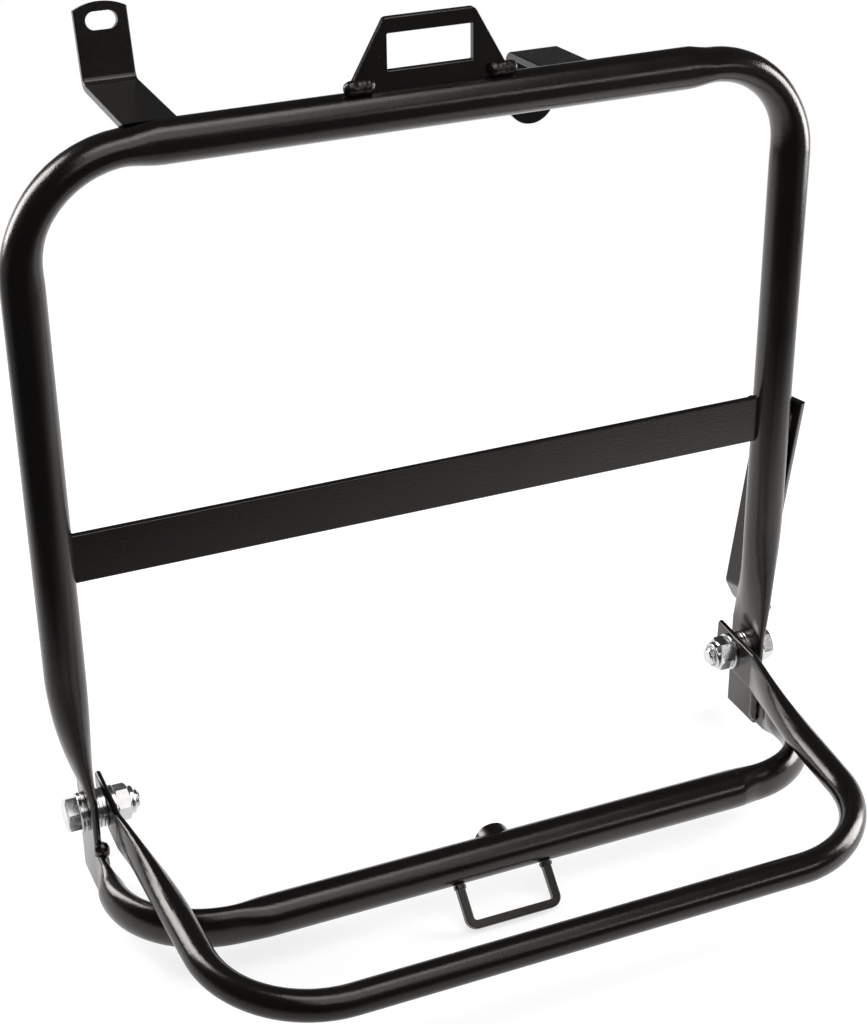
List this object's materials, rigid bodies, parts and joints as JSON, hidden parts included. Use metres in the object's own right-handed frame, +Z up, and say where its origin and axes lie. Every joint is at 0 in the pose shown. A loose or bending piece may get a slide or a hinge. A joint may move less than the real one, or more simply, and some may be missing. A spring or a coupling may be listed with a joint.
{
  "type": "pannier frame",
  "caption": "Welded tube frame that carries a saddlebag beside a small motorbike, with a tray hoop that folds up on pivot bolts and flat bar brackets for mounting.",
  "frame": {"origin": "centre of the round mounting hole in the upper right bracket, on the tab's back face", "axes": "+X to the right seen from outside the bike, +Y towards the bike along that hole, +Z up"},
  "size_m": [0.3358, 0.2063, 0.3408],
  "materials": {
    "black_coat": "semi-gloss powder coat",
    "zinc": "zinc plated",
    "nylon": "moulded"
  },
  "bodies": {
    "frame": {"main_hoop": "black_coat", "lower_rail": "black_coat", "cross_strip": "black_coat", "strap_bracket": "black_coat", "strap_loop": "black_coat", "rail_button": "black_coat", "upper_left_bracket": "black_coat", "upper_right_bracket": "black_coat", "lower_strut": "black_coat", "strap_bracket_welds": "black_coat", "rail_welds": "black_coat", "strap_loop_welds": "black_coat", "cross_strip_welds": "black_coat", "upper_left_bracket_weld": "black_coat", "upper_right_bracket_weld": "black_coat", "lower_strut_welds": "black_coat", "pivot_bolt_left": "zinc", "head_washers_left": "zinc", "spacer_washers_left": "zinc", "nut_washer_left": "zinc", "lock_nut_left": "zinc", "nut_insert_left": "nylon", "pivot_bolt_right": "zinc", "head_washers_right": "zinc", "spacer_washers_right": "zinc", "nut_washer_right": "zinc", "lock_nut_right": "zinc", "nut_insert_right": "nylon"},
    "tray": {"tray_hoop": "black_coat"}
  },
  "joints": [
    {"name": "tray_fold", "type": "hinge", "parent": "frame", "child": "tray", "pos_m": [-0.0584, -0.04, -0.2525], "axis": [-1, 0, 0], "range_deg": [0, 88]}
  ]
}
